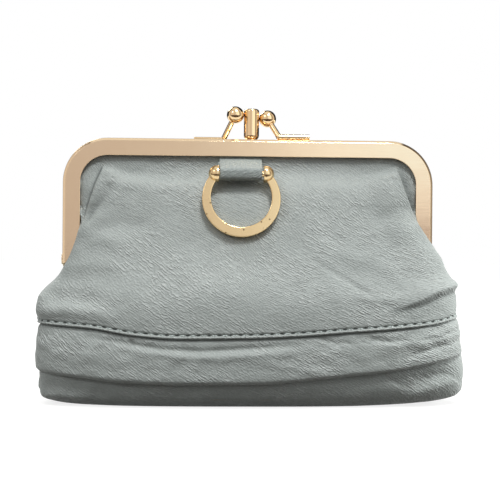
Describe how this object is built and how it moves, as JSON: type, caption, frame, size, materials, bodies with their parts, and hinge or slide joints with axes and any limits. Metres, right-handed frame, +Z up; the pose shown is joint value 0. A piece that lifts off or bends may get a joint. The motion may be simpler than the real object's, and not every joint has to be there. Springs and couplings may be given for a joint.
{
  "type": "kiss lock frame purse",
  "caption": "Soft leather purse with two compartments on a gold kiss lock frame, a stitched leather band and a hanging crescent ring.",
  "frame": {"origin": "centre of the base, on the surface that the purse stands on", "axes": "+X along the frame to the viewer's right, -Y towards the front with the ring, +Z up towards the clasp"},
  "size_m": [0.174, 0.0522, 0.1207],
  "materials": {
    "leather": "soft matt glove leather",
    "tab_leather": "soft matt leather with raw edges",
    "lining": "plain woven cloth",
    "board": "grey board",
    "paper_cord": "twisted paper",
    "frame_metal": "polished pale gold plating",
    "clasp_metal": "polished pale gold plating",
    "ring_metal": "satin pale gold plating with small wear marks"
  },
  "bodies": {
    "bag": {"base_panel": "leather", "base_board": "board", "front_body": "leather", "back_body": "leather", "front_band": "leather", "back_band": "leather", "front_fold": "leather", "back_fold": "leather", "front_lining": "lining", "back_lining": "lining", "divider": "lining", "middle_frame": "frame_metal", "middle_paper_cord": "paper_cord", "centre_post": "clasp_metal", "left_rivet": "frame_metal", "right_rivet": "frame_metal"},
    "front_frame": {"front_frame": "frame_metal", "front_paper_cord": "paper_cord", "front_panel": "leather", "front_clasp_arm": "clasp_metal", "front_clasp_ball": "clasp_metal", "ring_tab": "tab_leather"},
    "back_frame": {"back_frame": "frame_metal", "back_paper_cord": "paper_cord", "back_panel": "leather", "back_clasp_arm": "clasp_metal", "back_clasp_ball": "clasp_metal"},
    "ring": {"ring": "ring_metal", "ring_ball_left": "ring_metal", "ring_ball_right": "ring_metal", "ring_pin": "ring_metal"}
  },
  "joints": [
    {"name": "front_frame_hinge", "type": "hinge", "parent": "bag", "child": "front_frame", "pos_m": [0, 0, 0.058], "axis": [1, 0, 0], "range_deg": [0, 45], "deforming": ["front_fold"]},
    {"name": "back_frame_hinge", "type": "hinge", "parent": "bag", "child": "back_frame", "pos_m": [0, 0, 0.058], "axis": [-1, 0, 0], "range_deg": [0, 45], "deforming": ["back_fold"]},
    {"name": "ring_swing", "type": "hinge", "parent": "front_frame", "child": "ring", "pos_m": [-0.0035, -0.01185, 0.0925], "axis": [-1, 0, 0], "range_deg": [0, 160]}
  ]
}
